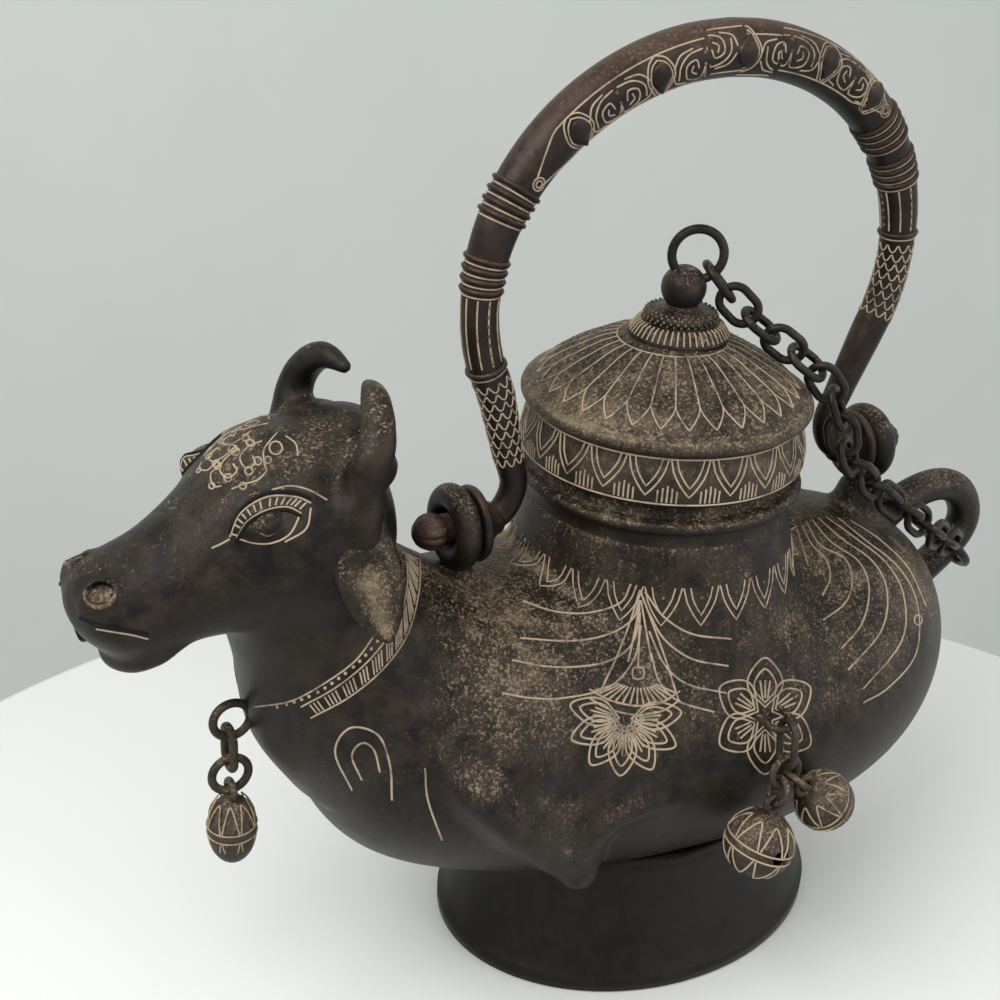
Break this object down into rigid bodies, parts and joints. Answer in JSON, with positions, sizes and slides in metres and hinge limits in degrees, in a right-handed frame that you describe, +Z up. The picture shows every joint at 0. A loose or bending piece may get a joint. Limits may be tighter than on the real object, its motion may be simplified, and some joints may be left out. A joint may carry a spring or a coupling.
{
  "type": "kamandalu",
  "caption": "Cow-shaped cast bronze water vessel with hinged bail handle, chained lid, horned head spout, tail loop and hanging bells.",
  "frame": {"origin": "on the table under the middle of the whole length from muzzle to tail", "axes": "-X towards the cow's head and spout, +X towards the tail, +Z up, -Y the side seen in the picture"},
  "size_m": [0.2996, 0.143, 0.269],
  "materials": {
    "body_bronze": "dark brown patina with dust in the grooves",
    "foot_bronze": "plain, nearly black patina",
    "lid_bronze": "dark patina, engraved",
    "handle_bronze": "dark patina worn reddish on top",
    "chain_bronze": "dark, worn",
    "bell_bronze": "dark patina, dusty"
  },
  "bodies": {
    "vessel": {"vessel_body": "body_bronze", "head_spout": "body_bronze", "foot_ring": "foot_bronze", "filler_neck": "body_bronze", "horn_left": "body_bronze", "horn_right": "body_bronze", "ear_left": "body_bronze", "ear_right": "body_bronze", "tail_loop": "body_bronze", "tail_ring": "chain_bronze", "lug_front": "body_bronze", "lug_rear": "body_bronze", "breast_lug": "bell_bronze", "flank_lug_left": "bell_bronze", "flank_lug_right": "bell_bronze"},
    "lid": {"lid": "lid_bronze", "lid_finial": "lid_bronze"},
    "lid_ring": {"lid_ring": "chain_bronze"},
    "bail": {"bail_handle": "handle_bronze", "bail_bud_front": "handle_bronze", "bail_bud_rear": "handle_bronze"},
    "chain_upper": {"chain_link_01": "chain_bronze", "chain_link_02": "chain_bronze", "chain_link_03": "chain_bronze", "chain_link_04": "chain_bronze", "chain_link_05": "chain_bronze", "chain_link_06": "chain_bronze", "chain_link_07": "chain_bronze", "chain_link_08": "chain_bronze", "chain_link_09": "chain_bronze", "chain_link_10": "chain_bronze", "chain_link_11": "chain_bronze", "chain_link_12": "chain_bronze"},
    "chain_lower": {"chain_link_13": "chain_bronze", "chain_link_14": "chain_bronze", "chain_link_15": "chain_bronze", "chain_link_16": "chain_bronze", "chain_link_17": "chain_bronze", "chain_link_18": "chain_bronze", "chain_link_19": "chain_bronze"},
    "breast_bell": {"breast_link": "bell_bronze", "breast_ring": "bell_bronze", "breast_bell": "bell_bronze", "breast_pellet": "bell_bronze"},
    "flank_bells_left": {"flank_link_left": "bell_bronze", "flank_ring_left": "bell_bronze", "bell_link_1_left": "bell_bronze", "bell_1_left": "bell_bronze", "bell_pellet_1_left": "bell_bronze", "bell_link_2_left": "bell_bronze", "bell_2_left": "bell_bronze", "bell_pellet_2_left": "bell_bronze"},
    "flank_bells_right": {"flank_link_right": "bell_bronze", "flank_ring_right": "bell_bronze", "bell_link_1_right": "bell_bronze", "bell_1_right": "bell_bronze", "bell_pellet_1_right": "bell_bronze", "bell_link_2_right": "bell_bronze", "bell_2_right": "bell_bronze", "bell_pellet_2_right": "bell_bronze"}
  },
  "joints": [
    {"name": "bail_swing", "type": "hinge", "parent": "vessel", "child": "bail", "pos_m": [0.0237, 0, 0.1418], "axis": [1, 0, 0], "range_deg": [-100, 34]},
    {"name": "lid_lift", "type": "slide", "parent": "vessel", "child": "lid", "axis": [0, 0, 1], "range_m": [0, 0.0095]},
    {"name": "lid_ring_tilt", "type": "hinge", "parent": "lid", "child": "lid_ring", "pos_m": [0.0194, 0, 0.2022], "axis": [0.8829, -0.4695, 0], "range_deg": [-6, 6]},
    {"name": "chain_upper_turn", "type": "hinge", "parent": "lid", "child": "chain_upper", "pos_m": [0.02603, -0.00352, 0.20395], "axis": [0, 1, 0], "range_deg": [-1.3, 0.2]},
    {"name": "chain_lower_turn", "type": "hinge", "parent": "vessel", "child": "chain_lower", "pos_m": [0.13442, -0.00672, 0.10094], "axis": [0, 1, 0], "range_deg": [-0.5, 9.5]},
    {"name": "breast_bell_swing", "type": "hinge", "parent": "vessel", "child": "breast_bell", "pos_m": [-0.11065, 0, 0.09408], "axis": [0, 1, 0], "range_deg": [0, 26]},
    {"name": "flank_bells_left_swing", "type": "hinge", "parent": "vessel", "child": "flank_bells_left", "pos_m": [0.0262, -0.0585, 0.093], "axis": [1, 0, 0], "range_deg": [-60, 0]},
    {"name": "flank_bells_right_swing", "type": "hinge", "parent": "vessel", "child": "flank_bells_right", "pos_m": [0.0262, 0.0585, 0.093], "axis": [1, 0, 0], "range_deg": [0, 60]}
  ],
  "couplings": [
    {"joint": "chain_upper_turn", "follows": "lid_lift", "rad_per_m": -2},
    {"joint": "chain_lower_turn", "follows": "lid_lift", "rad_per_m": 16.5}
  ]
}
